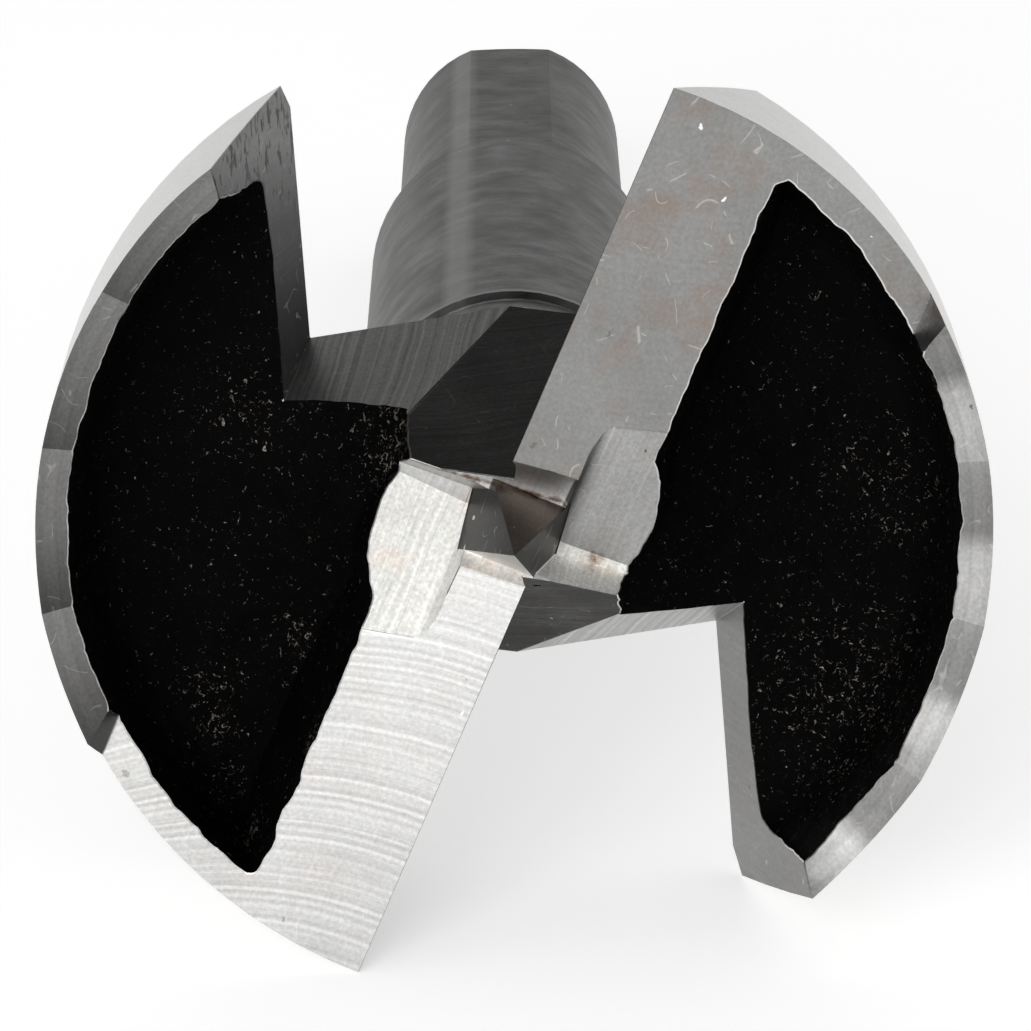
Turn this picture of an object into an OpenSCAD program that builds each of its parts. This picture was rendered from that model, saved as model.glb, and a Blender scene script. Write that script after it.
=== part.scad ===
// Forstner bit: a wave-ground rim, two raked cutters with chip gullets, a four-sided
// centre point and a stepped shank with three driving flats, all in one piece of steel.
// The bit is built upright about its axis, with the cutting face up and the shank down,
// and is then laid down the way it comes to rest on a bench.

/* [Head] */
// Diameter of the hole that the bit cuts
head_d = 35; // [32:0.5:45]
// Height of the head from the rim's edge to its back
head_h = 10.4; // [9.8:0.1:13]
// Chamfer round the back of the head
back_chamfer = 1; // [0.3:0.1:1.5]

/* [Recess] */
// Depth of the forged recess at its lowest ring, below the rim's edge
recess_depth = 6.7; // [5.5:0.1:7.2]
// Distance of the recess's lowest ring from the outside of the head
recess_inset = 5.6; // [5:0.1:7]
// Thickness of the rim at its cutting edge
rim_wall = 1.05; // [0.8:0.05:1.4]
// Draft of the rim's inner wall
rim_draft = 6; // [2:0.5:9]
// Radius between the rim's inner wall and the recess floor
recess_fillet = 2.2; // [1.2:0.1:2.6]
// Radius of the hub where its flank reaches the level of the rim's edge
hub_r = 2.2; // [1.8:0.1:2.8]

/* [Rim] */
// Number of scallops in the wave of each half of the rim
wave_count = 4; // [3:1:4]
// Angle from one wave crest to the next
wave_pitch = 20.4; // [16:0.2:20.4]
// How far the first crest lies past the trailing end of the rim
wave_overrun = 0.7; // [0.4:0.1:3]
// How far the wave's crests lie below the rim's turned edge
wave_cut = 0.05; // [0.03:0.01:0.12]
// Radius of the wheel that grinds the scallops
wave_r = 8.3; // [6.5:0.1:12]
// Slope of the ground bevel towards the inside
bevel_slope = 25; // [15:1:40]

/* [Cutters] */
// How far the cutting edge lies ahead of the centre
edge_lead = 1.15; // [0.6:0.05:1.6]
// How far the cutting edge lies below the rim's edge
edge_set = 0.5; // [0.2:0.05:1]
// Width of the cutter's ground land
land_w = 4.6; // [3.8:0.1:5.4]
// Clearance angle of the land behind the cutting edge
clearance = 8; // [5:0.5:11]
// Rake angle of the cutter's front face
rake = 22; // [19:1:28]
// Width of the strip that the clearance grinding takes off the rim
relief_w = 11.8; // [9:0.1:13]
// Slant of the step where that strip ends at the wave
relief_slant = 22; // [10:1:35]
// Draft of the cutter's back wall and of its root
cutter_draft = 12; // [5:1:15]
// Radius of the cutter's round root at the hub, at the level of the rim's edge
root_r = 4.2; // [3.6:0.1:4.6]
// Distance of the root's middle from the centre
root_x = 1.8; // [1.2:0.1:2.4]

/* [Gullets] */
// Angle in plan between the cutting edge and the gullet's trailing face
gullet_angle = 27.4; // [20:0.2:32]
// Distance of the trailing face from the axis at the back of the head
tail_dist = 7.2; // [6.6:0.1:8.2]
// Lean of the trailing face, which opens the gullet towards the front
tail_lean = 14.5; // [8:0.5:18]
// Distance of the gullet's two floor facets from the axis at the back of the head
web_r = 6.6; // [6.5:0.05:7.2]
// Slope of the floor facet next to the cutter
throat_slope = 28; // [22:1:32]
// Direction that the throat facet faces, in plan from the cutting edge
throat_dir = 16; // [8:1:22]
// Slope of the floor facet next to the trailing face
flank_slope = 20; // [14:1:24]
// Direction that the flank facet faces, in plan from the cutting edge
flank_dir = 32; // [26:1:38]

/* [Centre] */
// How far the centre point stands in front of the rim's edge
point_proud = 3; // [2:0.1:4]
// Width of the centre point at its shoulder
point_w = 2.9; // [2.6:0.1:3.2]
// Depth of the ground shoulder beside the centre point, below the rim's edge
shoulder_depth = 1.6; // [1.5:0.05:1.7]
// Distance from the centre at which the first cutter's land steps down to the shoulder
shoulder_x = 2.65; // [2.4:0.05:2.9]
// The same distance for the second cutter's land, which reaches further in
shoulder_near = 1.8; // [1.7:0.05:2.9]
// Turn of that step from square to the cutting edge
shoulder_turn = 8; // [4:1:11]
// Radius at the foot of that step
shoulder_fillet = 1.3; // [0.6:0.1:1.5]
// How far the shoulder reaches past the wall of the gash
shoulder_past = 0.5; // [0.3:0.1:0.8]
// Slope of the shoulder's side where it runs up to the gash
shoulder_slope = 45; // [30:1:60]
// Distance from the centre at which the gash behind the land begins
gash_start = 4.9; // [4.6:0.05:5.4]
// Width of the land where the gash begins
gash_land = 2.4; // [2.3:0.05:2.6]
// Angle in plan between the gash and the cutting edge
gash_angle = 1; // [0:0.2:3]
// Slope of the gash floor down towards the centre
gash_slope = 20; // [18:0.5:22]
// Tilt of the gash floor away from the land
gash_tilt = 12; // [8:0.5:14]
// Lean of the gash's wall from square to its floor
gash_draft = 20; // [16:1:26]
// How far the gash runs past the centre
gash_past = 0.6; // [0.3:0.1:1]
// Radius at the foot of the gash's wall
gash_fillet = 0.6; // [0.4:0.1:0.8]

/* [Shank] */
// Diameter of the neck behind the head
neck_d = 11.5; // [10:0.1:11.7]
// Length of the neck from the head's back to the seam
neck_l = 6; // [4:0.5:10]
// Radius between the neck and the head's back
neck_fillet = 0.7; // [0.3:0.1:0.7]
// Width of the turned seam between the neck and the collar
seam_w = 0.4; // [0.3:0.05:0.8]
// Depth of the seam below the collar
seam_depth = 0.8; // [0.5:0.1:1.2]
// Diameter of the collar
collar_d = 12; // [11.8:0.1:14]
// Length of the collar
collar_l = 36.6; // [25:0.1:50]
// Chamfer at the collar's two ends
collar_chamfer = 0.25; // [0.1:0.05:0.5]
// Diameter of the shank that the chuck grips
shank_d = 10; // [8:0.5:11]
// Length of the shank
shank_l = 33.4; // [26:0.1:40]
// Chamfer at the shank's end
shank_chamfer = 0.7; // [0.5:0.1:1]
// How far the round land next to the collar stands above the gripped length
shank_land = 0.02; // [0.01:0.01:0.05]
// Number of driving flats
flat_count = 3; // [2:1:3]
// Depth of each driving flat
flat_depth = 0.34; // [0.2:0.02:0.46]
// Length of the driving flats from the shank's end
flat_l = 28; // [15:0.5:30]
// Turn of the first flat from the cutting edge
flat_turn = 23.6; // [0:0.2:120]

/* [Hidden] */
$fn = 96;
// Steel, between the ground faces and the darker turned shank
steel = [0.66, 0.66, 0.65];
// Reach of the cutting tools to the far side of the bit
reach = 2 * head_d;
// Overlap of a tool with what it cuts or of a piece with what it grows out of
over = 1;
// How far the fillet beside the rim stays above the recess's lowest ring
fillet_rise = 0.1;
head_r = head_d / 2;
shank_r = shank_d / 2;
collar_r = collar_d / 2;
neck_r = neck_d / 2;
// Depths below the rim's edge of the shank's shoulders
seam_at = head_h + neck_l;
collar_at = seam_at + seam_w;
shank_at = collar_at + collar_l;
end_at = shank_at + shank_l;
// The round land ends a little past the start of the flats
grip_at = end_at - flat_l + over / 2;
// The recess is one hollow curve through the hub's flank and the lowest ring
recess_mid_r = head_r - recess_inset;
recess_span = recess_mid_r - hub_r;
recess_curve_r = (recess_span * recess_span + recess_depth * recess_depth) / (2 * recess_depth);
fillet_depth = recess_depth - recess_fillet - fillet_rise;
rim_inner_r = head_r - rim_wall;
fillet_r = rim_inner_r - fillet_depth * tan(rim_draft) - recess_fillet;
// The trailing face meets the rim's edge and the top of the back chamfer at these angles
tail_front_dist = tail_dist + head_h * tan(tail_lean);
tail_front_angle = gullet_angle + asin(tail_front_dist / head_r);
tail_back_dist = tail_dist + back_chamfer * tan(tail_lean);
tail_back_angle = gullet_angle + asin(tail_back_dist / head_r);
// How far the middle of a scallop lies below its crests, at the outside of the rim
crest_half = head_r * sin(wave_pitch / 2);
crest_sag = wave_r - sqrt(wave_r * wave_r - crest_half * crest_half);
crest_bow = head_r * (1 - cos(wave_pitch / 2));
wave_sag = (crest_sag - crest_bow * sin(bevel_slope)) / cos(bevel_slope);
// Where the gash begins behind the cutting edge
gash_y = edge_lead - gash_land;
// Height of the centre point above the ground shoulder
point_rise = point_proud + shoulder_depth;

// The bit rests on one cutter's corner, the back corner of the opposite half's rim and
// the shank's end. The slope of its axis and its turn about it follow from those three.
corner = [-sqrt(head_r * head_r - edge_lead * edge_lead), -edge_lead, edge_set];
heel = [-head_r * cos(tail_back_angle), -head_r * sin(tail_back_angle), head_h - back_chamfer];
rest_dx = corner[0] - heel[0];
rest_dy = corner[1] - heel[1];
rest_span = sqrt(rest_dx * rest_dx + rest_dy * rest_dy);
function turn_at(slope) =
    180 - asin((corner[2] - heel[2]) * tan(slope) / rest_span) - atan2(rest_dy, rest_dx);
function slope_at(turn) =
    atan((-corner[0] * sin(turn) - corner[1] * cos(turn) - shank_r) / (end_at - shank_chamfer - corner[2]));
function settle(slope, steps) = steps == 0 ? slope : settle(slope_at(turn_at(slope)), steps - 1);
rest_slope = settle(8, 8);
rest_turn = turn_at(rest_slope);
rest_drop = shank_r * cos(rest_slope) + (end_at - shank_chamfer) * sin(rest_slope);
rest_front = -point_proud * cos(rest_slope);
rest_back = end_at * cos(rest_slope) + (shank_r - shank_chamfer) * sin(rest_slope);

// Everything on one side of the plane x = 0
module beyond_x() {
    translate([0, -reach, -reach])
        cube([2 * reach, 2 * reach, 2 * reach]);
}

// Everything on one side of the plane y = 0
module beyond_y() {
    translate([-reach, 0, -reach])
        cube([2 * reach, 2 * reach, 2 * reach]);
}

// A section in the y-z plane, drawn out along the cutting edge
module along_edge(from, to) {
    translate([from, 0, 0])
        rotate([90, 0, 90])
            linear_extrude(height = to - from)
                children();
}

// The two halves of the head are alike, half a turn apart
module both_halves() {
    for (turn = [0, 180])
        rotate([0, 0, turn])
            children();
}

// Section of the ring-shaped recess: one hollow curve up the hub, and a drafted rim wall
module recess_section() {
    intersection() {
        translate([recess_mid_r, recess_curve_r - recess_depth])
            circle(r = recess_curve_r);
        union() {
            translate([0, -recess_depth - over])
                square([fillet_r, recess_depth + 2 * over]);
            translate([fillet_r, -fillet_depth])
                circle(r = recess_fillet);
            polygon([
                [0, over],
                [rim_inner_r + over * tan(rim_draft), over],
                [fillet_r + recess_fillet, -fillet_depth],
                [0, -fillet_depth]
            ]);
        }
    }
}

// Turned and forged blank of the head
module head_blank() {
    rotate_extrude()
        difference() {
            polygon([
                [0, -head_h],
                [head_r - back_chamfer, -head_h],
                [head_r, -head_h + back_chamfer],
                [head_r, 0],
                [0, 0]
            ]);
            recess_section();
        }
}

// Wall that carries one cutting edge, from its round root at the hub out to the rim
module cutter_wall() {
    back = edge_lead - land_w;
    foot = recess_depth + over;
    spread = foot * tan(cutter_draft);
    intersection() {
        along_edge(0, head_r)
            polygon([
                [edge_lead, 0],
                [back, 0],
                [back - spread, -foot],
                [edge_lead, -foot]
            ]);
        translate([0, 0, -foot])
            cylinder(r = head_r, h = foot);
    }
    translate([root_x, 0, -foot])
        cylinder(r1 = root_r + spread, r2 = root_r, h = foot);
}

// Chip gullet: the space between a cutter's raked face and the trailing face of the
// other half, down to two sloping floor facets beside the hub
module gullet() {
    intersection() {
        translate([0, edge_lead, -edge_set])
            rotate([-rake, 0, 0])
                beyond_y();
        rotate([0, 0, gullet_angle])
            translate([0, tail_dist, -head_h])
                rotate([180 - tail_lean, 0, 0])
                    beyond_y();
        union() {
            gullet_floor(throat_dir, throat_slope);
            gullet_floor(flank_dir, flank_slope);
        }
    }
}

// Space outside one floor facet of a gullet
module gullet_floor(dir, slope) {
    rotate([0, 0, dir])
        translate([web_r, 0, -head_h])
            rotate([0, -slope, 0])
                beyond_x();
}

// Clearance grinding behind a cutting edge, which also lowers the rim outside it
module land_relief() {
    fall = relief_w * tan(clearance);
    rise = edge_set + fall + over;
    along_edge(0, head_r + over)
        polygon([
            [edge_lead + over, over * tan(clearance) - edge_set],
            [edge_lead - relief_w, -edge_set - fall],
            [edge_lead - relief_w - rise * tan(relief_slant), rise - edge_set - fall],
            [edge_lead + over, rise - edge_set - fall]
        ]);
}

// Ground gash behind the inner end of a land, with a rounded foot to its wall
module gash() {
    start_z = -edge_set - gash_land * tan(clearance);
    length = (gash_start + gash_past) / (cos(gash_angle) * cos(gash_slope));
    width = 2 * land_w;
    height = 2 * shoulder_depth;
    translate([gash_start, gash_y, start_z])
        rotate([0, 0, gash_angle])
            rotate([gash_tilt, -gash_slope, 0])
                along_edge(-length, over)
                    union() {
                        translate([-width, 0])
                            square([width - gash_fillet, height]);
                        translate([-gash_fillet, gash_fillet])
                            circle(r = gash_fillet);
                        polygon([
                            [-width, gash_fillet],
                            [0, gash_fillet],
                            [(height - gash_fillet) * tan(gash_draft), height],
                            [-width, height]
                        ]);
                    }
}

// One scallop of the ground wave in the rim
module scallop() {
    inward = 2 * rim_wall;
    translate([head_r, 0, -wave_sag - wave_cut])
        rotate([0, -bevel_slope, 0])
            translate([-inward, 0, wave_r])
                rotate([0, 90, 0])
                    cylinder(r = wave_r, h = inward + over);
}

// The wave in one half of the rim, counted from its trailing end
module rim_wave() {
    for (i = [0 : wave_count - 1])
        rotate([0, 0, tail_front_angle - 180 + (i + 0.5) * wave_pitch - wave_overrun])
            scallop();
}

// Ground step at the inner end of a land, with a hollow foot, down to the shoulder beside
// the centre point
module point_relief(from_centre) {
    height = shoulder_depth + over;
    width = 4 * root_r;
    intersection() {
        rotate([90, 0, shoulder_turn])
            translate([0, -shoulder_depth, -width / 2])
                linear_extrude(height = width)
                    union() {
                        square([from_centre - shoulder_fillet, height]);
                        translate([0, shoulder_fillet])
                            square([from_centre, height - shoulder_fillet]);
                        intersection() {
                            translate([from_centre - shoulder_fillet, shoulder_fillet])
                                circle(r = shoulder_fillet);
                            square([from_centre, height]);
                        }
                    }
        translate([gash_start, gash_y, -shoulder_depth])
            rotate([0, 0, gash_angle])
                translate([0, -shoulder_past, 0])
                    rotate([90 - shoulder_slope, 0, 0])
                        beyond_y();
    }
}

// Four-sided centre point, square to the cutting edges
module centre_point() {
    foot = 1.5 * over;
    half = point_w / 2 * (point_rise + foot) / point_rise;
    intersection_for (turn = [0, 90])
        rotate([0, 0, turn])
            along_edge(-point_w, point_w)
                polygon([
                    [-half, -shoulder_depth - foot],
                    [half, -shoulder_depth - foot],
                    [0, point_proud]
                ]);
}

// Forged and ground head
module head() {
    difference() {
        union() {
            difference() {
                head_blank();
                both_halves()
                    rim_wave();
            }
            both_halves()
                cutter_wall();
        }
        both_halves() {
            gullet();
            land_relief();
            gash();
        }
        point_relief(shoulder_x);
        rotate([0, 0, 180])
            point_relief(shoulder_near);
    }
    centre_point();
}

// Turned neck, collar and shank
module shaft() {
    difference() {
        rotate_extrude()
            difference() {
                polygon([
                    [0, -head_h + over],
                    [neck_r, -head_h + over],
                    [neck_r, -head_h],
                    [neck_r + neck_fillet, -head_h],
                    [neck_r + neck_fillet, -head_h - neck_fillet],
                    [neck_r, -head_h - neck_fillet],
                    [neck_r, -seam_at],
                    [collar_r - seam_depth, -seam_at],
                    [collar_r - seam_depth, -collar_at],
                    [collar_r - collar_chamfer, -collar_at],
                    [collar_r, -collar_at - collar_chamfer],
                    [collar_r, -shank_at + collar_chamfer],
                    [collar_r - collar_chamfer, -shank_at],
                    [shank_r + shank_land, -shank_at],
                    [shank_r + shank_land, -grip_at],
                    [shank_r, -grip_at],
                    [shank_r, -end_at + shank_chamfer],
                    [shank_r - shank_chamfer, -end_at],
                    [0, -end_at]
                ]);
                translate([neck_r + neck_fillet, -head_h - neck_fillet])
                    circle(r = neck_fillet);
            }
        for (i = [0 : flat_count - 1])
            rotate([0, 0, flat_turn + i * 360 / flat_count])
                translate([shank_r - flat_depth, -shank_d / 2, -end_at - over])
                    cube([shank_d, shank_d, flat_l + over]);
    }
}

// The bit lying on the bench, with its face towards -Y
module laid_down() {
    translate([0, -(rest_front + rest_back) / 2, rest_drop])
        rotate([90 - rest_slope, 0, 0])
            rotate([0, 0, rest_turn])
                children();
}

module forstner_bit() {
    color(steel)
        laid_down()
            union() {
                head();
                shaft();
            }
}

forstner_bit();
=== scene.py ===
import math
import bmesh
import bpy
from mathutils import Matrix, Vector, noise


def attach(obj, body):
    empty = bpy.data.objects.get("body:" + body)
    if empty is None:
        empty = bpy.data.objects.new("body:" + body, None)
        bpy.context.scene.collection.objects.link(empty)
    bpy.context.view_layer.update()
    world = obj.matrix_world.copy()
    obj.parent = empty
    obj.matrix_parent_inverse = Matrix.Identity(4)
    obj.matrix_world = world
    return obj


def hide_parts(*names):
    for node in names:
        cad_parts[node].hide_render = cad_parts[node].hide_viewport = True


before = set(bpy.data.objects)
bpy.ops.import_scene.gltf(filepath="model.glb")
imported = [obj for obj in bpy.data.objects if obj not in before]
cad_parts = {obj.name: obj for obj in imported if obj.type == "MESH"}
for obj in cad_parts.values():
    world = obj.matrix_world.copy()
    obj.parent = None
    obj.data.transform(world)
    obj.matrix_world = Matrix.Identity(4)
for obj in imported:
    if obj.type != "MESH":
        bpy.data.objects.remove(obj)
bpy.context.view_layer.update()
scene = bpy.context.scene
scene.view_settings.view_transform = "Standard"
mm = 0.001


def deg(a):
    return math.radians(a)


# how the bit lies: the cutter frame has its origin on the axis at the rim, x along the edge, z to the front
rest = {"slope": 7.6356, "turn": 66.5301, "rimY": -0.041814, "rimZ": 0.016396}
upright = (Matrix.Translation((0, rest["rimY"], rest["rimZ"]))
           @ Matrix.Rotation(deg(90 - rest["slope"]), 4, "X")
           @ Matrix.Rotation(deg(rest["turn"]), 4, "Z"))

# forms of the head that sort its faces into finishes, in mm and degrees
head = {"r": 17.5, "h": 10.4, "recessDepth": 6.7, "recessMid": 11.9, "hubR": 2.2, "rimInner": 16.45,
        "rimDraft": 6, "fillet": 2.2, "filletRise": 0.1, "edgeLead": 1.15, "edgeSet": 0.5, "landW": 4.6,
        "clearance": 8, "rake": 22, "cutterDraft": 12, "rootX": 1.8, "rootR": 4.2, "gulletAngle": 27.4,
        "tailDist": 7.2, "tailLean": 14.5, "webR": 6.6, "throat": (16, 28), "flank": (32, 20),
        "pointProud": 3, "pointSlope": 0.3152, "shankAt": 53.4, "collarAt": 17.05}

# how near to a form its faces lie and how far each form runs on, in mm, and the slant that parts rim from wall
sorting = {"close": 0.03, "level": 0.01, "bowl": 1.6, "fillet": 0.1, "edge": 0.2, "hub": 0.5, "floor": 0.1,
           "waveFrom": 14, "slant": 0.3}


def halfTurn(p):
    return Vector((-p.x, -p.y, p.z))


def recessGap(p):  # distance in mm from the forged recess's own surfaces
    r = math.hypot(p.x, p.y)
    span = head["recessMid"] - head["hubR"]
    curveR = (span ** 2 + head["recessDepth"] ** 2) / (2 * head["recessDepth"])
    rimSlope = math.tan(deg(head["rimDraft"]))
    filletZ = -(head["recessDepth"] - head["fillet"] - head["filletRise"])
    filletX = head["rimInner"] + filletZ * rimSlope - head["fillet"]
    gaps = []
    if r < filletX + sorting["bowl"]:
        gaps.append(abs(math.hypot(r - head["recessMid"], p.z - (curveR - head["recessDepth"])) - curveR))
    if r > filletX - sorting["fillet"] and p.z < filletZ + sorting["edge"]:
        gaps.append(abs(math.hypot(r - filletX, p.z - filletZ) - head["fillet"]))
    if p.z > filletZ - sorting["edge"]:
        gaps.append(abs(r - (head["rimInner"] + p.z * rimSlope)))
    slope = math.tan(deg(head["cutterDraft"]))
    for q in (p, halfTurn(p)):
        if q.x > -sorting["hub"]:
            gaps.append(abs(q.y - (head["edgeLead"] - head["landW"] + q.z * slope)))
        gaps.append(abs(math.hypot(q.x - head["rootX"], q.y) - (head["rootR"] - q.z * slope)))
    return min(gaps)


def planeGap(p, name):  # distance in mm from one of the ground planes, on whichever half is nearer
    best = math.inf
    for q in (p, halfTurn(p)):
        if name == "face":
            a = deg(head["rake"])
            d = math.cos(a) * (q.y - head["edgeLead"]) - math.sin(a) * (q.z + head["edgeSet"])
        elif name == "land":
            d = q.z + head["edgeSet"] + (head["edgeLead"] - q.y) * math.tan(deg(head["clearance"]))
        elif name == "tail":
            a, t = deg(head["tailLean"]), deg(head["gulletAngle"])
            out = -q.x * math.sin(t) + q.y * math.cos(t) - head["tailDist"]
            d = math.cos(a) * out - math.sin(a) * (q.z + head["h"])
        else:
            t, a = (deg(v) for v in head[name])
            out = q.x * math.cos(t) + q.y * math.sin(t) - head["webR"]
            d = math.cos(a) * out + math.sin(a) * (q.z + head["h"])
        best = min(best, abs(d))
    return best


def pointGap(p):  # distance in mm from the four-sided centre point, across its axis
    return abs(max(abs(p.x), abs(p.y)) - head["pointSlope"] * (head["pointProud"] - p.z))


finishes = ["forged", "land", "wave", "gullet", "tail", "wall", "turned", "shank", "gash", "point", "burrSheen", "flank"]
forgedKind = finishes.index("forged")
sheenStripKind = finishes.index("burrSheen")
groundPlanes = {"face": "gullet", "throat": "gullet", "flank": "flank", "tail": "tail", "land": "land"}


def finishOf(face):
    pts = [v.co / mm for v in face.verts]
    mid = face.calc_center_median() / mm
    if mid.z < -head["shankAt"] + sorting["level"]:
        return "shank"
    if mid.z < -head["h"] - sorting["level"]:
        return "turned"
    if mid.z > -head["recessDepth"] - sorting["floor"] and max(recessGap(p) for p in pts) < sorting["close"]:
        return "forged"
    for plane, name in groundPlanes.items():
        if max(planeGap(p, plane) for p in pts) < sorting["close"]:
            return name
    r = mid.xy.length
    slant = face.normal.z
    if r > head["r"] - sorting["edge"] and abs(slant) < sorting["slant"] or slant < -sorting["slant"]:
        return "wall"
    if r > sorting["waveFrom"] and slant > sorting["slant"]:
        return "wave"
    return "point" if max(pointGap(p) for p in pts) < sorting["close"] else "gash"


# the bit: a copy of the solid with a rough forged skin, ragged ground edges and a finish for each face
# lengths in mm, sharpFrom, ridgeFrom and forgedSharp in degrees, level and bend in radians
skin = {"weld": 0.002, "grain": 0.28, "edgeGrain": 0.17, "slack": 1.35, "rounds": 7, "rough": 0.15, "ragged": 0.13,
        "edge": 0.035, "burrSheen": 0.055, "burrDrop": 0.02, "ridge": 0.05, "sharpFrom": 20, "ridgeFrom": 5,
        "forgedSharp": 60, "level": 0.002, "bend": 0.35, "leastSide": 0.2, "leastRun": 10,
        "flat": ("land", "gullet", "flank", "tail", "gash"),
        "wornAndSheen": ("land", "gullet", "tail", "gash", "wave")}

# noise of the skin and of its ragged edge: waves per mm, and how much of the whole
lumps = {"broad": (0.9, 0.6), "fine": (2.4, 0.35), "nibble": (0.8, 1.0), "bite": (2.6, 0.45), "nick": (1.7, 3),
         "nickFine": 9, "nickFrom": 0.35}

# corners of the recesses that are blunt: place, way in, and depth in mm
blunt = [((16.08, -3.45), (-0.777, -0.63), 0.62), ((8.2, 13.85), (-0.98, -0.2), 0.75)]
bluntReach = 3


def isForged(f, zone):
    return f[zone] == forgedKind


def splitLong(bm, zone):  # finer mesh in the forged recesses
    for _ in range(skin["rounds"]):
        long = []
        for e in bm.edges:
            kinds = {isForged(f, zone) for f in e.link_faces}
            if True in kinds:
                limit = skin["edgeGrain"] if False in kinds else skin["grain"]
                if e.calc_length() / mm > limit * skin["slack"]:
                    long.append(e)
        if not long:
            return
        bmesh.ops.subdivide_edges(bm, edges=long, cuts=1)
        bmesh.ops.triangulate(bm, faces=[f for f in bm.faces if len(f.verts) > 3 and isForged(f, zone)])
        forged = [f for f in bm.faces if isForged(f, zone)]
        inner = [e for e in bm.edges if len(e.link_faces) == 2 and all(isForged(f, zone) for f in e.link_faces)
                 and e.calc_face_angle(0) < skin["bend"]]
        bmesh.ops.beautify_fill(bm, faces=forged, edges=inner)


def bluntMove(p):  # how far a point of the ragged line moves in at a corner
    for sign in (1, -1):
        q = p.xy * sign
        for corner, inward, depth in blunt:
            off = q - Vector(corner)
            short = depth - off.dot(Vector(inward))
            if short > 0 and off.length < bluntReach:
                return Vector((*inward, 0)) * short * sign
    return Vector()


def lumpAt(p):  # height of the forged skin
    (broad, broadShare), (fine, fineShare) = lumps["broad"], lumps["fine"]
    return noise.fractal(p * broad, 0.9, 2.1, 4) * broadShare + noise.turbulence(p * fine, 3, False) * fineShare


def raggedAt(p):  # how far the ragged line leaves its place
    (nibble, nibbleShare), (bite, biteShare), (nick, nickShare) = (lumps[k] for k in ("nibble", "bite", "nick"))
    wavy = noise.noise(p * nibble + Vector((7, 3, 1))) * nibbleShare + noise.noise(p * bite) * biteShare
    nicked = max(0, noise.noise(p * nick + Vector((2, 9, 4))) - lumps["nickFrom"])
    return wavy + nicked * noise.noise(p * lumps["nickFine"]) * nickShare


def roughen(bm, zone):  # lumpy skin, and a ragged line where it meets the ground faces
    moves = {}
    for v in bm.verts:
        forged = [f for f in v.link_faces if isForged(f, zone)]
        if not forged:
            continue
        ground = [f for f in v.link_faces if not isForged(f, zone)]
        p = v.co / mm
        forgedNormal = sum((f.normal * f.calc_area() for f in forged), Vector()).normalized()
        if not ground:
            moves[v] = forgedNormal * lumpAt(p) * skin["rough"] * mm
            continue
        groundNormal = ground[0].normal
        side = forgedNormal - groundNormal * forgedNormal.dot(groundNormal)
        if side.length < skin["leastSide"] or any(f.normal.angle(groundNormal) > skin["bend"] for f in ground):
            continue  # a corner stays where it is
        shift = side.normalized() * raggedAt(p) * skin["ragged"] + bluntMove(p)
        moves[v] = (shift - groundNormal * shift.dot(groundNormal)) * mm
    for v, move in moves.items():
        v.co += move


def meetsForged(edges, zone):
    return [e for e in edges if any(isForged(f, zone) for f in e.link_faces)]


def wornSheenEdge(bm, zone):  # narrow bright strips along the ground side of the ragged line: worn edges, lightened as a painted highlight
    strips = 0
    for name in skin["wornAndSheen"]:
        kind = finishes.index(name)
        faces = [f for f in bm.faces if f[zone] == kind and (name == "wave" or meetsForged(f.edges, zone))]
        made = bmesh.ops.inset_region(bm, faces=faces, thickness=skin["burrSheen"] * mm, depth=0,
                                      use_boundary=True, use_even_offset=True)
        drops = {}
        for f in made["faces"]:
            outer = meetsForged(f.edges, zone)
            f[zone] = sheenStripKind if outer else kind
            strips += bool(outer)
            for e in outer:
                for v in e.verts:
                    drops[v] = f.normal.copy()
        for v, normal in drops.items():
            v.co -= normal * skin["burrDrop"] * mm
    return strips


def chamfer(bm, edges, width):
    return bmesh.ops.bevel(bm, geom=edges, offset=width * mm, segments=1, affect="EDGES",
                           clamp_overlap=False, profile=0.5)["faces"]


def easeEdges(bm, zone, flatKinds):  # plain narrow chamfers on sharp edges and a bright one along the gullets' ridges, lightened as a painted highlight
    def between(e):
        return {finishes[f[zone]] for f in e.link_faces}

    sharp = [e for e in bm.edges if len(e.link_faces) == 2 and e.calc_face_angle(0) > deg(skin["sharpFrom"])
             and not meetsForged([e], zone) and any(f[zone] in flatKinds for f in e.link_faces)
             and e.calc_length() > skin["leastRun"] * skin["edge"] * mm and between(e) != {"land", "wall"}]
    chamfer(bm, sharp, skin["edge"])
    bm.normal_update()
    ridge = [e for e in bm.edges if between(e) == {"gullet", "flank"}
             and deg(skin["ridgeFrom"]) < e.calc_face_angle(0) < deg(skin["sharpFrom"])]
    for f in chamfer(bm, ridge, skin["ridge"]):
        f[zone] = sheenStripKind
    bm.normal_update()
    return len(sharp) + len(ridge)


def sortedSolid():  # the node's mesh in the cutter frame, with a finish for each face
    bm = bmesh.new()
    bm.from_mesh(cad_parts["forstner_bit"].data)
    bm.transform(upright.inverted())
    bmesh.ops.remove_doubles(bm, verts=bm.verts, dist=skin["weld"] * mm)
    bmesh.ops.dissolve_degenerate(bm, dist=skin["weld"] * mm, edges=bm.edges)
    bmesh.ops.triangulate(bm, faces=bm.faces)
    bm.normal_update()
    zone = bm.faces.layers.int.new("finish")
    for f in bm.faces:
        f[zone] = finishes.index(finishOf(f))
    counts = [sum(1 for f in bm.faces if f[zone] == i) for i in range(len(finishes))]
    print("faces by finish", dict(zip(finishes, counts)))
    return bm, zone


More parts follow.
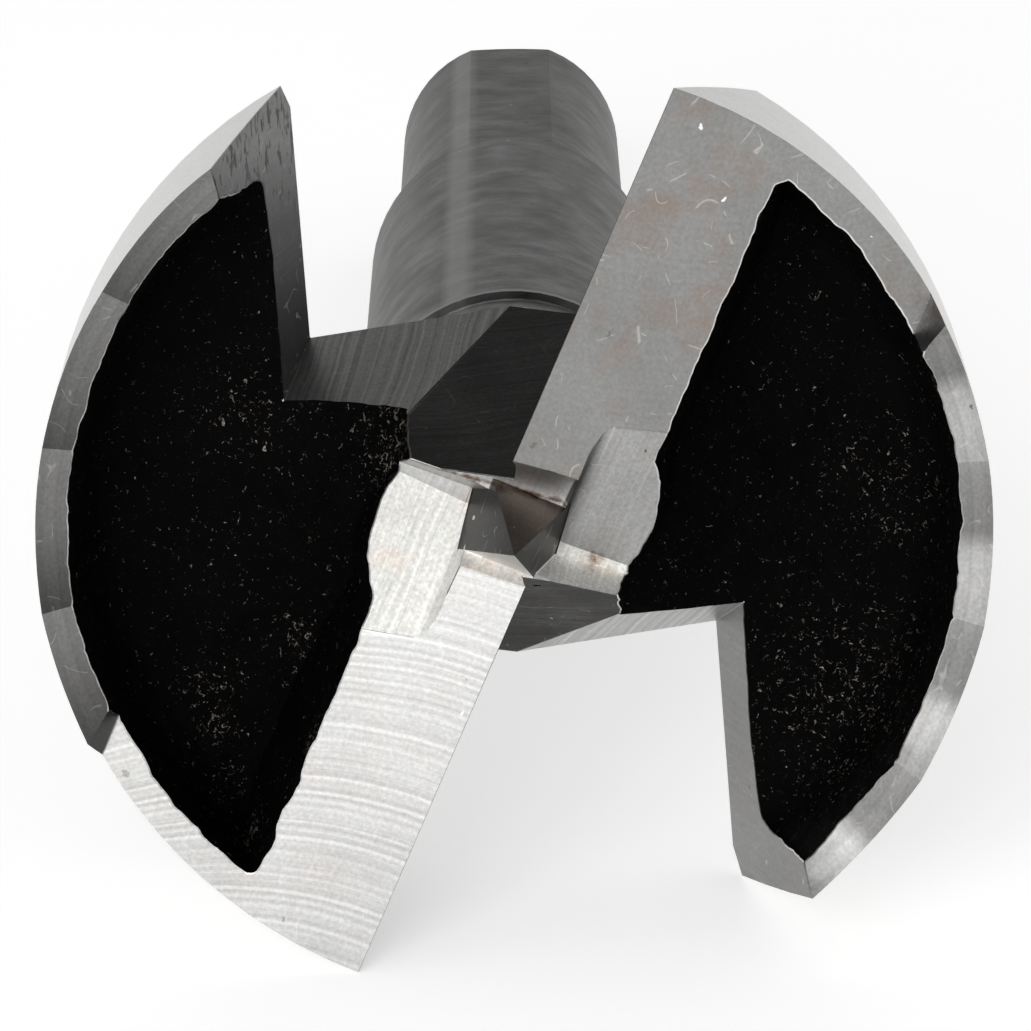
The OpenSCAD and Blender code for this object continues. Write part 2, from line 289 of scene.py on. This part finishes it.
def makeBit():
    bm, zone = sortedSolid()
    flatKinds = [finishes.index(name) for name in skin["flat"]]
    inFlat = [e for e in bm.edges if len(e.link_faces) == 2 and e.calc_face_angle(9) < skin["level"]
              and e.link_faces[0][zone] == e.link_faces[1][zone] and e.link_faces[0][zone] in flatKinds]
    bmesh.ops.dissolve_edges(bm, edges=inFlat, use_verts=False)
    splitLong(bm, zone)
    bm.normal_update()
    roughen(bm, zone)
    bm.normal_update()
    strips = wornSheenEdge(bm, zone)
    eased = easeEdges(bm, zone, flatKinds)
    for f in bm.faces:
        f.material_index = f[zone]
        f.smooth = True
    for e in bm.edges:
        if len(e.link_faces) == 2:
            a, b = (f[zone] for f in e.link_faces)
            limit = skin["forgedSharp"] if a == forgedKind else skin["sharpFrom"]
            e.smooth = a == b and e.calc_face_angle(0) < deg(limit)
    bm.transform(upright)
    mesh = bpy.data.meshes.new("forstnerBit")
    bm.to_mesh(mesh)
    bm.free()
    bit = bpy.data.objects.new("forstnerBit", mesh)
    scene.collection.objects.link(bit)
    weighted = bit.modifiers.new("flatFaces", "WEIGHTED_NORMAL")
    weighted.keep_sharp = True
    print("bit:", len(mesh.polygons), "faces,", strips, "in the worn edge,", eased, "edges eased")
    return bit


bit = makeBit()


# shader helpers
def newMaterial(name):
    mat = bpy.data.materials.new(name)
    mat.use_nodes = True
    tree = mat.node_tree
    return mat, tree, tree.nodes["Principled BSDF"]


def newGroup(name, inputs, outputs):  # an input with no value is a vector, and each output is a number
    group = bpy.data.node_groups.new(name, "ShaderNodeTree")
    for label, value in inputs.items():
        kind = "NodeSocketVector" if value is None else "NodeSocketFloat"
        socket = group.interface.new_socket(name=label, in_out="INPUT", socket_type=kind)
        if value is not None:
            socket.default_value = value
    for label in outputs:
        group.interface.new_socket(name=label, in_out="OUTPUT", socket_type="NodeSocketFloat")
    return group, group.nodes.new("NodeGroupInput").outputs


def putOut(group, sockets):
    out = group.nodes.new("NodeGroupOutput")
    for name, socket in sockets.items():
        group.links.new(socket, out.inputs[name])
    return group


def wire(tree, kind, links=None, **settings):  # one node with its settings, input values and incoming links
    node = tree.nodes.new(kind)
    values = settings.pop("values", {})
    for key, value in settings.items():
        setattr(node, key, value)
    for key, value in values.items():
        node.inputs[key].default_value = value
    for key, socket in (links or {}).items():
        tree.links.new(socket, node.inputs[key])
    return node


def place(tree, group, links, values=None):  # a node group's outputs
    return wire(tree, "ShaderNodeGroup", links, node_tree=group, values=values or {}).outputs


def calc(tree, operation, *terms):  # terms are numbers or sockets
    node = wire(tree, "ShaderNodeMath", operation=operation)
    for socket, term in zip(node.inputs, terms):
        if isinstance(term, (int, float)):
            socket.default_value = term
        else:
            tree.links.new(term, socket)
    return node.outputs[0]


def plus(tree, a, b):
    return calc(tree, "ADD", a, b)


def minus(tree, a, b):
    return calc(tree, "SUBTRACT", a, b)


def times(tree, a, b):
    return calc(tree, "MULTIPLY", a, b)


def over(tree, a, b):
    return calc(tree, "DIVIDE", a, b)


def fit(tree, value, gain, start):  # scaled, then moved
    return calc(tree, "MULTIPLY_ADD", value, gain, start)


def swing(tree, value, gain):  # a value round a half, as a change up or down
    return fit(tree, value, gain, -0.5 * gain)


def larger(tree, a, b):
    return calc(tree, "MAXIMUM", a, b)


def above(tree, a, b):
    return calc(tree, "GREATER_THAN", a, b)


def secondHalf(tree, x):  # the half with the second cutter
    return calc(tree, "LESS_THAN", x, 0.0)


def byHalf(tree, x, first, second):  # one value on the first cutter's half, another on the second's
    return fit(tree, secondHalf(tree, x), second - first, first)


def ramp(tree, socket, stops):
    node = wire(tree, "ShaderNodeValToRGB", {0: socket})
    elements = node.color_ramp.elements
    while len(elements) < len(stops):
        elements.new(0.5)
    for element, (at, value) in zip(elements, stops):
        element.position = at
        element.color = (*value, 1) if isinstance(value, tuple) else (value, value, value, 1)
    return node.outputs[0]


def mixColor(tree, factor, a, b, blend="MIX"):
    node = wire(tree, "ShaderNodeMix", data_type="RGBA", blend_type=blend)
    for socket, value in ((node.inputs[0], factor), (node.inputs[6], a), (node.inputs[7], b)):
        if isinstance(value, (int, float)):
            socket.default_value = value
        elif isinstance(value, tuple):
            socket.default_value = (*value, 1)
        else:
            tree.links.new(value, socket)
    return node.outputs[2]


def tint(tree, shade, color, factor=1.0):
    return mixColor(tree, factor, shade, color, "MULTIPLY")


def cover(tree, shade, mask, amount, color):  # a colour laid over the steel where the mask is
    return mixColor(tree, times(tree, mask, amount), shade, color)


def cloudy(tree, vec, scale, detail=0.0, rough=0.5, distortion=0.0):
    values = {"Scale": scale, "Detail": detail, "Roughness": rough, "Distortion": distortion}
    return wire(tree, "ShaderNodeTexNoise", {"Vector": vec}, values=values).outputs[0]


def streaks(tree, along, rough):  # noise along one direction only
    values = {"Scale": 1.0, "Detail": 2.0, "Roughness": rough}
    return wire(tree, "ShaderNodeTexNoise", {"W": along}, noise_dimensions="1D", values=values).outputs[0]


def moved(tree, vec, **values):
    return wire(tree, "ShaderNodeMapping", {"Vector": vec}, values=values).outputs[0]


def distance(tree, vec, middle):
    return wire(tree, "ShaderNodeVectorMath", {0: vec}, operation="DISTANCE", values={1: middle}).outputs["Value"]


def split(tree, vec):
    return wire(tree, "ShaderNodeSeparateXYZ", {0: vec}).outputs


def millimetres(tree):  # the cutter frame in mm
    back = upright.inverted()
    return moved(tree, wire(tree, "ShaderNodeTexCoord").outputs["Object"], Scale=(1 / mm,) * 3,
                 Rotation=back.to_euler(), Location=back.translation / mm)


def gray(value):
    return (value,) * 3


# lines left by a wheel or a tool, across the direction that Along runs in
def makeGrindLines():
    g, given = newGroup("grindLines", {"Along": 0.0, "Vector": None, "Spacing": 0.3, "Wander": 0.2, "Even": 0.0},
                        ["Lines", "Fine"])
    drift = minus(g, cloudy(g, given["Vector"], 0.35), 0.5)
    step = over(g, plus(g, given["Along"], times(g, drift, given["Wander"])), given["Spacing"])
    coarse = streaks(g, step, 0.6)
    fine = streaks(g, times(g, step, 4.0), 0.7)
    patch = cloudy(g, given["Vector"], 1.4, 1.0)
    ridge = times(g, calc(g, "SINE", times(g, step, 2 * math.pi)), times(g, coarse, 0.5))
    return putOut(g, {"Lines": plus(g, coarse, times(g, ridge, given["Even"])),
                      "Fine": plus(g, times(g, fine, 0.7), times(g, patch, 0.3))})


# hair scratches, bright specks and dark pits of a used tool; the bright specks are part dust and part painted sparkle
hairRuns = [(3.0, 0.429), (17.0, 0.715)]  # shift in mm, waves per mm
spotKinds = {"Speck": (0.9, 0.0, 0.17), "Pit": (0.8, 9.0, 0.20)}  # how dense, shift and largest radius in mm


def makeKnocks():
    g, given = newGroup("knocks", {"Vector": None, "Count": 0.5}, ["Scratch", "Speck", "Pit"])
    vec = given["Vector"]
    hairs = 0.0
    for shift, waves in hairRuns:
        own = moved(g, vec, Location=(shift, shift * 2, shift * 3))
        line = ramp(g, calc(g, "ABSOLUTE", minus(g, cloudy(g, own, waves), 0.5)), [(0.0, 1.0), (0.009, 0.0)])
        hairs = larger(g, times(g, line, ramp(g, cloudy(g, own, 1.7), [(0.57, 0.0), (0.63, 1.0)])), hairs)
    shake = wire(g, "ShaderNodeTexNoise", {"Vector": vec}, values={"Scale": 6.0, "Detail": 0.0}).outputs["Color"]
    shake = wire(g, "ShaderNodeVectorMath", {0: shake}, operation="SCALE", values={"Scale": 0.22}).outputs[0]
    uneven = wire(g, "ShaderNodeVectorMath", {0: vec, 1: shake}, operation="ADD").outputs[0]
    marks = {"Scratch": hairs}
    for name, (dense, shift, most) in spotKinds.items():
        cell = wire(g, "ShaderNodeTexVoronoi", {"Vector": moved(g, uneven, Location=gray(shift))},
                    values={"Scale": dense, "Randomness": 1.0}).outputs
        chance = wire(g, "ShaderNodeSeparateColor", {0: cell["Color"]}).outputs[0]
        radius = times(g, minus(g, plus(g, chance, given["Count"]), 1.0), most)
        marks[name] = calc(g, "LESS_THAN", cell["Distance"], radius)
    return putOut(g, marks)


# slow changes of tone from handling, heat and thin rust
def makeTarnish():
    g, given = newGroup("tarnish", {"Vector": None, "Scale": 0.3}, ["Cloud", "Rust", "Grain"])
    vec = given["Vector"]
    cloud = wire(g, "ShaderNodeTexNoise", {"Vector": vec, "Scale": given["Scale"]},
                 values={"Detail": 2.0, "Roughness": 0.6}).outputs[0]
    rust = ramp(g, cloudy(g, vec, 0.42, 3.0, 0.65), [(0.52, 0.0), (0.72, 1.0)])
    return putOut(g, {"Cloud": cloud, "Rust": rust, "Grain": cloudy(g, vec, 7.0, 1.0, 0.6)})


# dirt and painted shade, by place in the cutter frame in mm: a rust line at the point's foot, painted shade behind the
# point beside the gash wall, a rusty spot and a dirty notch in the rim
dirtAndShadePlaces = {"footX": 1.45, "footLean": 0.14, "footFrom": -1.3, "shadeFrom": -1.25,
          "Spot": ((-0.18, -3.38, -2.85), 0.4), "Notch": ((13.7, -10.6, -1.0), 1.3)}


def makeGrimeAndShade():
    g, given = newGroup("grimeAndShade", {"Vector": None}, ["RustLine", "WallShade", "Spot", "Notch"])
    vec = given["Vector"]
    x, y = split(g, vec)[:2]
    rag = minus(g, cloudy(g, vec, 2.2, 4.0, 0.7), 0.5)
    foot = calc(g, "ABSOLUTE", minus(g, fit(g, y, dirtAndShadePlaces["footLean"], x), dirtAndShadePlaces["footX"]))
    line = ramp(g, minus(g, foot, times(g, rag, 0.5)), [(0.0, 1.0), (0.13, 0.0)])
    # painted shade: a dark band behind the point, next to the gash wall
    behind = ramp(g, minus(g, dirtAndShadePlaces["shadeFrom"], y), [(0.0, 0.0), (0.08, 1.0), (0.35, 0.7), (0.95, 0.0)])
    across = ramp(g, fit(g, x, 0.1, 0.3), [(0.24, 0.0), (0.33, 1.0), (0.55, 1.0), (0.78, 0.0)])
    dirtAndShadeMasks = {"RustLine": times(g, line, above(g, y, dirtAndShadePlaces["footFrom"])), "WallShade": times(g, behind, across)}
    for name in ("Spot", "Notch"):
        middle, size = dirtAndShadePlaces[name]
        dirtAndShadeMasks[name] = ramp(g, minus(g, over(g, distance(g, vec, middle), size * 2), rag), [(0.2, 1.0), (0.55, 0.0)])
    return putOut(g, dirtAndShadeMasks)


grindLines = makeGrindLines()
knocks = makeKnocks()
tarnish = makeTarnish()
grimeAndShade = makeGrimeAndShade()

# steel finishes: tone of the metal and of its grazing edge, roughness, strength and spacing of the grinding lines,
# strength of scratches, specks and pits and how many, rust, bump, and how cloudy; each is plain where it says no more
plain = {"edge": 1.0, "spacing": 0.3, "wander": 0.25, "even": 0.0, "scratch": 0.2, "speck": 0.2, "pit": 0.7,
         "count": 0.5, "rust": 0.05, "bump": 0.2, "grain": 0.45, "mottle": 0.35, "cloud": 0.25}
steels = {
    "land": {"tone": 0.34, "rough": 0.34, "lines": 0.13, "spacing": 0.31, "wander": 0.12, "even": 0.55, "scratch": 0.32,
             "speck": 0.85, "pit": 0.35, "count": 0.55, "rust": 0.26, "bump": 0.12, "grain": 0.4},
    "wave": {"tone": 0.46, "rough": 0.44, "lines": 0.18, "spacing": 0.4, "pit": 0.6, "count": 0.35},
    "gullet": {"tone": 0.25, "edge": 0.2, "rough": 0.26, "lines": 0.16, "spacing": 0.22, "scratch": 0.3,
               "speck": 0.8, "rust": 0.06},
    "flank": {"tone": 0.40, "rough": 0.40, "lines": 0.5, "spacing": 0.22, "speck": 0.5, "pit": 0.6, "rust": 0.06},
    "tail": {"tone": 0.29, "edge": 0.8, "rough": 0.40, "lines": 0.12, "speck": 0.3, "pit": 0.8, "count": 0.6,
             "bump": 0.3},
    "wall": {"tone": 0.66, "rough": 0.32, "lines": 0.12, "spacing": 0.25, "pit": 0.3, "count": 0.3},
    "turned": {"tone": 0.30, "edge": 0.36, "rough": 0.36, "lines": 0.2, "spacing": 0.22, "scratch": 0.12,
               "speck": 0.7, "rust": 0.03, "mottle": 1.7, "cloud": 0.5},
    "shank": {"tone": 0.30, "edge": 0.36, "rough": 0.38, "lines": 0.2, "scratch": 0.12, "speck": 0.6, "rust": 0.03,
              "mottle": 1.5, "cloud": 0.5},
    "gash": {"tone": 0.38, "rough": 0.48, "lines": 0.16, "spacing": 0.2, "speck": 0.5, "count": 0.45, "rust": 0.15,
             "bump": 0.25},
    "point": {"tone": 0.40, "rough": 0.36, "lines": 0.14, "scratch": 0.3, "speck": 0.7, "pit": 0.5, "count": 0.6,
              "rust": 0.3, "bump": 0.25},
    # the bright edge strips: wear, with a painted highlight in their light tone
    "burrSheen": {"tone": 0.62, "rough": 0.34, "lines": 0.20, "pit": 0.6, "rust": 0.15},
}
lineDepth = 0.014  # of the grinding lines, in mm
# colours laid over the steel: rust and dirt, and the near-black painted shade by the gash wall
stainAndShadeKinds = {"RustLine": (0.85, (0.07, 0.022, 0.006)), "Spot": (0.9, (0.12, 0.05, 0.015)),
          "WallShade": (0.93, (0.02, 0.018, 0.016)), "Notch": (0.6, (0.15, 0.10, 0.06))}  # strength and colour
markColors = {"rust": (0.34, 0.17, 0.08), "scratch": (0.85, 0.84, 0.80), "pit": (0.03, 0.027, 0.025),
              "speck": (0.95, 0.94, 0.90)}


def stainAndShade(tree, shade, dirtAndShadeMasks, name):
    return cover(tree, shade, dirtAndShadeMasks[name], *stainAndShadeKinds[name])


def notchLook(tree, shader, at, shade):
    return stainAndShade(tree, shade, place(tree, grimeAndShade, {"Vector": at["vec"]}), "Notch")


# the lands: grinding lines that bow across them, and a second one painted brighter, as painted light, with less rust
# and fewer scratches
cutters = {"lean": 0.138, "bow": -0.034, "lines": (0.3, 1.6), "tone": (0.74, 0.91), "rust": (1.0, 0.2),
           "scratch": (1.0, 0.25)}


def acrossLand(tree, at):
    side = times(tree, at["y"], calc(tree, "SIGN", at["x"]))  # the two cutters are alike, half a turn apart
    bow = times(tree, calc(tree, "POWER", side, 2.0), cutters["bow"])
    return plus(tree, calc(tree, "ABSOLUTE", at["x"]), fit(tree, side, cutters["lean"], bow))


def landLook(tree, shader, at, shade):
    # painted light and painted shade: each cutter's land gets its own lightness
    return notchLook(tree, shader, at, tint(tree, shade, byHalf(tree, at["x"], *cutters["tone"])))


def burrSheenLook(tree, shader, at, shade):  # deep edges darkened, as painted shade deeper in the recesses
    depth = ramp(tree, fit(tree, at["z"], 0.1, 0.7), [(0.22, 0.1), (0.45, 1.0)])
    return notchLook(tree, shader, at, tint(tree, shade, depth))


# the point's four facets, by tone against the steel: a rust brown on one, and painted light and painted shade on the
# other three
facetRustAndShade = {"first": (0.483, 0.399, 0.336), "second": gray(1.5), "ahead": gray(0.18), "behind": gray(0.03)}


def pointLook(tree, shader, at, shade):
    ends = mixColor(tree, above(tree, at["x"], 0.0), facetRustAndShade["second"], facetRustAndShade["first"])
    sides = mixColor(tree, above(tree, at["y"], 0.0), facetRustAndShade["behind"], facetRustAndShade["ahead"])
    atEnds = above(tree, calc(tree, "ABSOLUTE", at["x"]), calc(tree, "ABSOLUTE", at["y"]))
    # painted light and painted shade: each facet of the point gets its own lightness
    shade = tint(tree, shade, mixColor(tree, atEnds, sides, ends))
    dirtAndShadeMasks = place(tree, grimeAndShade, {"Vector": at["vec"]})
    return stainAndShade(tree, stainAndShade(tree, shade, dirtAndShadeMasks, "RustLine"), dirtAndShadeMasks, "Spot")


# the gashes beside the point: the second is rougher, and painted paler as painted light
gashes = {"paintedLight": (2.3, 2.3, 2.27), "rougher": (0.0, 0.25)}


def gashLook(tree, shader, at, shade):
    dirtAndShadeMasks = place(tree, grimeAndShade, {"Vector": at["vec"]})
    shade = stainAndShade(tree, stainAndShade(tree, shade, dirtAndShadeMasks, "RustLine"), dirtAndShadeMasks, "Spot")
    # painted light: the second gash is lightened
    shade = tint(tree, shade, gashes["paintedLight"], secondHalf(tree, at["x"]))
    # painted shade beside the gash wall
    return stainAndShade(tree, shade, dirtAndShadeMasks, "WallShade")


# bands of painted light and painted shade across each scallop of the wave-ground rim, darker on the left side, by angle
# in degrees from where each side's scallops start
scallopShading = {"from": 61.1, "pitch": 20.4, "left": [(0.0, 0.48), (0.9, 0.25), (1.0, 0.22)],
            "right": [(0.0, 0.85), (0.42, 0.78), (0.55, 0.40), (0.75, 0.48), (1.0, 0.68)]}


def waveLook(tree, shader, at, shade):
    shade = notchLook(tree, shader, at, shade)
    angle = times(tree, calc(tree, "ARCTAN2", at["y"], at["x"]), 180 / math.pi)
    isLeft = above(tree, at["y"], 0.0)
    for side, start, mask in (("left", scallopShading["from"], isLeft),
                              ("right", scallopShading["from"] - 180, minus(tree, 1.0, isLeft))):
        phase = calc(tree, "FRACT", over(tree, minus(tree, angle, start), scallopShading["pitch"]))
        # painted light and painted shade across each scallop
        shade = tint(tree, shade, mixColor(tree, mask, gray(1.0), ramp(tree, phase, scallopShading[side])))
    return shade


# the strips behind the gullets: the left one is darker, as painted shade, with dull dashes that join up towards the hub
tails = {"left": gray(0.58), "stretch": (1.0, 1.4, 2.2), "dash": 0.9, "dashColor": gray(0.012), "shine": 0.1}


def tailLook(tree, shader, at, shade):
    run = moved(tree, at["vec"], Rotation=(0, 0, deg(-head["gulletAngle"])), Scale=tails["stretch"])
    dash = ramp(tree, cloudy(tree, run, 1.3, 3.0, 0.6), [(0.52, 0.0), (0.60, 1.0)])
    inner = ramp(tree, times(tree, at["x"], 0.1), [(0.60, 1.0), (0.88, 0.0)])
    left = above(tree, at["y"], 0.0)
    dull = times(tree, times(tree, larger(tree, dash, inner), left), tails["dash"])
    tree.links.new(minus(tree, 1.0, dull), shader.inputs["Metallic"])
    shader.inputs["Specular IOR Level"].default_value = tails["shine"]
    # the left strip's darker tint is painted shade
    return mixColor(tree, dull, tint(tree, shade, tails["left"], left), tails["dashColor"])


# the collar and shank: a painted sheen, a light band along the top, and a painted highlight, a bright line round the
# collar's front edge
paintedSheen = {"along": 0.4, "sheenColor": (0.75, 0.75, 0.74), "highlightColor": (0.5, 0.5, 0.49)}


def shankSheenLook(tree, shader, at, shade):
    turn = deg(rest["turn"])
    across = minus(tree, times(tree, at["x"], math.cos(turn)), times(tree, at["y"], math.sin(turn)))
    sheenBand = ramp(tree, fit(tree, across, 0.1, 0.5), [(0.22, 0.0), (0.26, 1.0), (0.31, 1.0), (0.36, 0.0)])
    # painted sheen along the top of the collar and shank
    shade = cover(tree, shade, sheenBand, paintedSheen["along"], paintedSheen["sheenColor"])
    back = minus(tree, -head["collarAt"], at["z"])
    # painted highlight round the collar's front edge
    paintedRimLine = ramp(tree, back, [(0.0, 0.0), (0.02, 1.0), (0.35, 0.8), (0.6, 0.0)])
    return cover(tree, shade, paintedRimLine, above(tree, back, 0.0), paintedSheen["highlightColor"])


looks = {"land": landLook, "burrSheen": burrSheenLook, "wall": notchLook, "wave": waveLook, "point": pointLook,
         "gash": gashLook, "tail": tailLook, "turned": shankSheenLook, "shank": shankSheenLook}


def lineDirection(tree, name, at):  # what the grinding lines step along
    if name in ("land", "burrSheen"):
        return acrossLand(tree, at)
    if name == "wave":
        return wire(tree, "ShaderNodeVectorMath", {0: at["vec"]}, operation="LENGTH").outputs["Value"]
    if name in ("gash", "flank"):
        return at["y"]
    if name in ("gullet", "tail"):
        return fit(tree, at["y"], 0.5, at["x"])
    return at["z"]


def makeSteel(name):
    s = {**plain, **steels[name]}
    mat, tree, shader = newMaterial(name + "Steel")
    vec = millimetres(tree)
    at = {"vec": vec, **dict(zip("xyz", split(tree, vec)))}
    lines = place(tree, grindLines, {"Along": lineDirection(tree, name, at), "Vector": vec},
                  {"Spacing": s["spacing"], "Wander": s["wander"], "Even": s["even"]})
    marks = place(tree, knocks, {"Vector": vec}, {"Count": s["count"]})
    tone = place(tree, tarnish, {"Vector": vec}, {"Scale": s["cloud"]})

    level = plus(tree, swing(tree, lines["Lines"], s["lines"] * 2), swing(tree, lines["Fine"], s["lines"]))
    rust = times(tree, tone["Rust"], s["rust"])
    if name in ("land", "burrSheen"):
        level = times(tree, level, byHalf(tree, at["x"], *cutters["lines"]))
        rust = times(tree, rust, byHalf(tree, at["x"], *cutters["rust"]))
    level = plus(tree, level, swing(tree, tone["Cloud"], s["mottle"]))
    level = plus(tree, level, swing(tree, tone["Grain"], s["grain"]))
    t = s["tone"]
    shade = ramp(tree, plus(tree, level, 0.5), [(0.0, (t * 0.5, t * 0.5, t * 0.49)), (0.5, (t, t * 0.995, t * 0.975)),
                                                (1.0, gray(min(t * 1.6, 0.96)))])
    shade = mixColor(tree, rust, shade, markColors["rust"])
    if name in looks:
        shade = looks[name](tree, shader, at, shade)

    hair = times(tree, marks["Scratch"], s["scratch"])
    if name == "land":
        hair = times(tree, hair, byHalf(tree, at["x"], *cutters["scratch"]))
    shade = mixColor(tree, hair, shade, markColors["scratch"])
    shade = cover(tree, shade, marks["Pit"], s["pit"], markColors["pit"])
    # bright specks: part dust, part painted sparkle
    shade = cover(tree, shade, marks["Speck"], s["speck"], markColors["speck"])
    tree.links.new(shade, shader.inputs["Base Color"])
    shader.inputs["Metallic"].default_value = 1.0
    shader.inputs["Specular Tint"].default_value = (*gray(s["edge"]), 1)

    rough = plus(tree, times(tree, lines["Fine"], 0.16), fit(tree, tone["Cloud"], 0.12, s["rough"] - 0.14))
    if name == "gash":
        rough = plus(tree, rough, byHalf(tree, at["x"], *gashes["rougher"]))
    tree.links.new(rough, shader.inputs["Roughness"])
    bump = wire(tree, "ShaderNodeBump", {"Height": lines["Lines"]},
                values={"Strength": s["bump"], "Distance": lineDepth * mm})
    tree.links.new(bump.outputs[0], shader.inputs["Normal"])
    return mat


# black forging scale in the recesses, with painted glints in a few places, flecks lightened in colour as painted
# highlights: middle in mm, size in mm, strength
forgeScale = {"tone": 0.0012, "rough": 0.72, "shine": 0.03, "bump": 0.6, "bumpDepth": 0.12, "flecks": 0.05,
              "paintedGlint": (0.20, 0.175, 0.15)}
paintedGlintPlaces = [((1.1, 4.6, -4.3), 3.0, 1.0), ((-14.8, 4.1, -4.0), 1.6, 1.0), ((10.8, -11.7, -1.5), 1.3, 1.0),
           ((6.0, -12.3, -6.0), 3.4, 0.55), ((-2.0, -14.2, -5.5), 5.5, 0.6), ((-0.9, 10.7, -6.5), 3.2, 0.45),
           ((-10.8, 7.8, -6.5), 1.8, 0.7), ((-12.2, 6.9, -6.2), 1.3, 0.9), ((-13.6, 5.6, -5.4), 1.3, 0.9),
           ((-7.8, 5.5, -6.4), 1.4, 0.7), ((-10.1, 3.75, -1.6), 1.4, 0.9)]


def makeForged():
    mat, tree, shader = newMaterial("forgedSkin")
    vec = millimetres(tree)
    area = forgeScale["flecks"]
    for middle, size, strength in paintedGlintPlaces:
        near = ramp(tree, over(tree, distance(tree, vec, middle), size), [(0.2, strength), (1.0, 0.0)])
        area = larger(tree, near, area)
    flake = cloudy(tree, vec, 4.5, 3.0, 0.7, 1.2)
    # painted glints: flecks made lighter, smoother and more metallic, standing in for highlights
    paintedGlint = ramp(tree, plus(tree, flake, times(tree, area, 0.11)), [(0.66, 0.0), (0.76, 1.0)])
    t = forgeScale["tone"]
    shade = mixColor(tree, cloudy(tree, vec, 0.5, 1.0), gray(t * 0.4), (t * 1.6, t * 1.5, t * 1.4))
    tree.links.new(mixColor(tree, paintedGlint, shade, forgeScale["paintedGlint"]), shader.inputs["Base Color"])
    shader.inputs["Specular IOR Level"].default_value = forgeScale["shine"]
    tree.links.new(fit(tree, paintedGlint, -0.4, forgeScale["rough"]), shader.inputs["Roughness"])
    tree.links.new(times(tree, paintedGlint, 0.5), shader.inputs["Metallic"])
    bump = wire(tree, "ShaderNodeBump", {"Height": cloudy(tree, vec, 3.2, 3.0, 0.7)},
                values={"Strength": forgeScale["bump"], "Distance": forgeScale["bumpDepth"] * mm})
    tree.links.new(bump.outputs[0], shader.inputs["Normal"])
    return mat


for name in finishes:
    bit.data.materials.append(makeForged() if name == "forged" else makeSteel(name))
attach(bit, "root")
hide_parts("forstner_bit")
print("bit dressed")

# pale floor, soft light and a white studio round it
studio = {"floor": 0.82, "floorRough": 0.9, "floorShine": 0.1, "floorGlow": 0.45, "floorHalf": 3.0, "floorDrop": 0.02,
          "light": 0.55, "sky": [(0.0, 1.0), (0.12, 0.75), (0.4, 0.42), (0.68, 0.24), (0.86, 0.03), (1.0, 0.02)]}
lamps = {"keyLamp": {"at": (-0.18, -0.58, 0.21), "aim": (0, -0.03, 0.015), "size": (0.34, 0.40), "watts": 2.0},
         "fillLamp": {"at": (0.45, -0.35, 0.35), "aim": (0, -0.02, 0.015), "size": (0.5, 0.5), "watts": 0.12}}


def seenRays(tree):  # what the camera sees, also in metal and glass
    path = wire(tree, "ShaderNodeLightPath").outputs
    return larger(tree, larger(tree, path["Is Camera Ray"], path["Is Glossy Ray"]), path["Is Transmission Ray"])


def makeFloor():
    bm = bmesh.new()
    bmesh.ops.create_grid(bm, x_segments=8, y_segments=8, size=studio["floorHalf"])
    mesh = bpy.data.meshes.new("floor")
    bm.to_mesh(mesh)
    bm.free()
    floor = bpy.data.objects.new("floor", mesh)
    scene.collection.objects.link(floor)
    floor.location = (0, 0, -studio["floorDrop"] * mm)
    mat, tree, shader = newMaterial("paleFloor")
    shader.inputs["Base Color"].default_value = (*gray(studio["floor"]), 1)
    shader.inputs["Roughness"].default_value = studio["floorRough"]
    shader.inputs["Specular IOR Level"].default_value = studio["floorShine"]
    shader.inputs["Emission Color"].default_value = (1, 1, 1, 1)
    tree.links.new(times(tree, seenRays(tree), studio["floorGlow"]), shader.inputs["Emission Strength"])
    mat.cycles.emission_sampling = "NONE"  # its glow is only for what sees it, not a lamp
    mesh.materials.append(mat)


def makeWorld():
    world = bpy.data.worlds.new("studio")
    scene.world = world
    world.use_nodes = True
    world.cycles.sampling_method = "NONE"  # an even sky needs no aimed samples
    tree = world.node_tree
    height = split(tree, wire(tree, "ShaderNodeTexCoord").outputs["Generated"])[2]
    sky = mixColor(tree, seenRays(tree), gray(studio["light"]), ramp(tree, height, studio["sky"]))
    tree.links.new(sky, tree.nodes["Background"].inputs["Color"])


def makeLamp(name, at, aim, size, watts):
    data = bpy.data.lights.new(name, "AREA")
    data.shape = "RECTANGLE"
    data.size, data.size_y = size
    data.energy = watts
    lamp = bpy.data.objects.new(name, data)
    scene.collection.objects.link(lamp)
    lamp.location = at
    lamp.rotation_euler = (Vector(aim) - Vector(at)).to_track_quat("-Z", "Y").to_euler()


makeFloor()
makeWorld()
for name, lamp in lamps.items():
    makeLamp(name, **lamp)

# camera at the photo's angle
view = {"at": (0.00005, -0.31597, 0.11576), "down": 19.76, "roll": -0.56, "lens": 279.3, "sensor": 36, "near": 0.01}
cameraData = bpy.data.cameras.new("camera")
cameraData.sensor_width = view["sensor"]
cameraData.lens = view["lens"]
cameraData.clip_start = view["near"]
camera = bpy.data.objects.new("camera", cameraData)
scene.collection.objects.link(camera)
camera.matrix_world = (Matrix.Translation(view["at"]) @ Matrix.Rotation(deg(90 - view["down"]), 4, "X")
                       @ Matrix.Rotation(deg(view["roll"]), 4, "Z"))
scene.camera = camera
print("camera and light placed")
